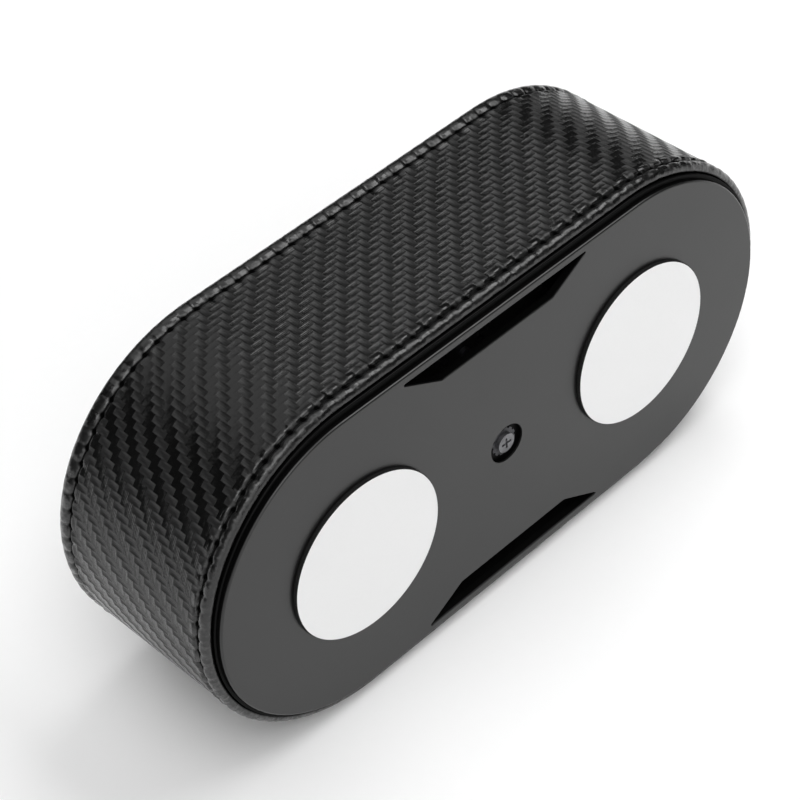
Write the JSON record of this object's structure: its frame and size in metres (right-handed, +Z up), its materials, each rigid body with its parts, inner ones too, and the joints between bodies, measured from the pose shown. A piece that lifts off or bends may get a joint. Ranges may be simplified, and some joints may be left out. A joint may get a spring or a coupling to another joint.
{
  "type": "watch winder box",
  "caption": "Round-ended leather-wrapped watch winder box with geared turntables, lift-out cushions and a screwed back plate with finger slots and round stick-on pads.",
  "frame": {"origin": "middle of the long flat side that the box stands on, under the middle of the leather's depth", "axes": "+X along the box, +Z up, back plate faces -Y and the cushions face +Y"},
  "size_m": [0.208, 0.0709, 0.104],
  "materials": {
    "leather": "black twill emboss, semi gloss",
    "foam": "black closed cell foam",
    "shell_plastic": "black satin moulding",
    "plate_plastic": "black semi gloss moulding",
    "liner": "white release liner",
    "steel": "plain steel",
    "bronze": "sintered bronze",
    "acetal": "dark acetal",
    "motor_can": "zinc plated can and wrapped cells",
    "wire": "insulated wire",
    "board": "solder resist and switch bodies",
    "lens": "clear lens",
    "trim": "bright ring",
    "velvet": "black flock",
    "cushion_cloth": "soft black suede cloth"
  },
  "bodies": {
    "case": {"leather_wrap": "leather", "foam_sleeve": "foam", "shell": "shell_plastic", "deck": "shell_plastic", "deck_screws": "steel", "holder_screws": "steel", "battery_holder": "shell_plastic", "cell_left": "motor_can", "cell_right": "motor_can", "contact_left": "steel", "contact_right": "steel", "battery_leads": "wire", "motor_leads": "wire", "motor": "motor_can", "motor_screws": "steel", "spindle_bush_left": "bronze", "spindle_bush_right": "bronze", "idler_pin_left": "steel", "idler_pin_right": "steel", "idler_clip_left": "steel", "idler_clip_right": "steel", "front_panel": "shell_plastic", "panel_screws": "steel", "trim_ring_left": "trim", "trim_ring_right": "trim", "control_board": "board", "board_screws": "steel", "mode_switch": "board", "button_switch": "board", "led_lens": "lens"},
    "back": {"back_plate": "plate_plastic", "plate_screw": "steel", "lock_washer": "steel", "pad_left": "foam", "pad_right": "foam", "pad_liner_left": "liner", "pad_liner_right": "liner"},
    "turntable_left": {"drum_left": "shell_plastic", "drum_lining_left": "velvet", "spindle_left": "steel", "spindle_gear_left": "acetal", "spindle_clip_left": "steel"},
    "turntable_right": {"drum_right": "shell_plastic", "drum_lining_right": "velvet", "spindle_right": "steel", "spindle_gear_right": "acetal", "spindle_clip_right": "steel"},
    "watch_cushion_left": {"cushion_left": "cushion_cloth"},
    "watch_cushion_right": {"cushion_right": "cushion_cloth"},
    "idler_left": {"idler_gear_left": "acetal"},
    "idler_right": {"idler_gear_right": "acetal"},
    "drive": {"drive_pinion": "acetal", "motor_shaft": "steel"},
    "knob": {"mode_knob": "plate_plastic", "mode_shaft": "steel"},
    "button": {"power_button": "plate_plastic"}
  },
  "joints": [
    {"name": "turntable_left_spin", "type": "hinge", "parent": "case", "child": "turntable_left", "pos_m": [-0.052, 0, 0.052], "axis": [0, 1, 0], "continuous": true},
    {"name": "turntable_right_spin", "type": "hinge", "parent": "case", "child": "turntable_right", "pos_m": [0.052, 0, 0.052], "axis": [0, 1, 0], "continuous": true},
    {"name": "idler_left_spin", "type": "hinge", "parent": "case", "child": "idler_left", "pos_m": [-0.0195, 0, 0.06748], "axis": [0, 1, 0], "continuous": true},
    {"name": "idler_right_spin", "type": "hinge", "parent": "case", "child": "idler_right", "pos_m": [0.0195, 0, 0.06748], "axis": [0, 1, 0], "continuous": true},
    {"name": "drive_spin", "type": "hinge", "parent": "case", "child": "drive", "pos_m": [0, 0, 0.07677], "axis": [0, 1, 0], "continuous": true},
    {"name": "cushion_left_pull", "type": "slide", "parent": "turntable_left", "child": "watch_cushion_left", "axis": [0, 1, 0], "range_m": [0, 0.036]},
    {"name": "cushion_right_pull", "type": "slide", "parent": "turntable_right", "child": "watch_cushion_right", "axis": [0, 1, 0], "range_m": [0, 0.036]},
    {"name": "back_plate_pull", "type": "slide", "parent": "case", "child": "back", "axis": [0, -1, 0], "range_m": [0, 0.03]},
    {"name": "mode_knob_turn", "type": "hinge", "parent": "case", "child": "knob", "pos_m": [0, 0, 0.0605], "axis": [0, 1, 0], "range_deg": [-60, 60]},
    {"name": "power_button_press", "type": "slide", "parent": "case", "child": "button", "axis": [0, -1, 0], "range_m": [0, 0.001], "stiffness_N_per_m": 800}
  ],
  "couplings": [
    {"joint": "turntable_right_spin", "follows": "turntable_left_spin", "ratio": 1},
    {"joint": "idler_left_spin", "follows": "turntable_left_spin", "ratio": -1.3684},
    {"joint": "idler_right_spin", "follows": "turntable_left_spin", "ratio": -1.3684},
    {"joint": "drive_spin", "follows": "turntable_left_spin", "ratio": 3.25}
  ]
}
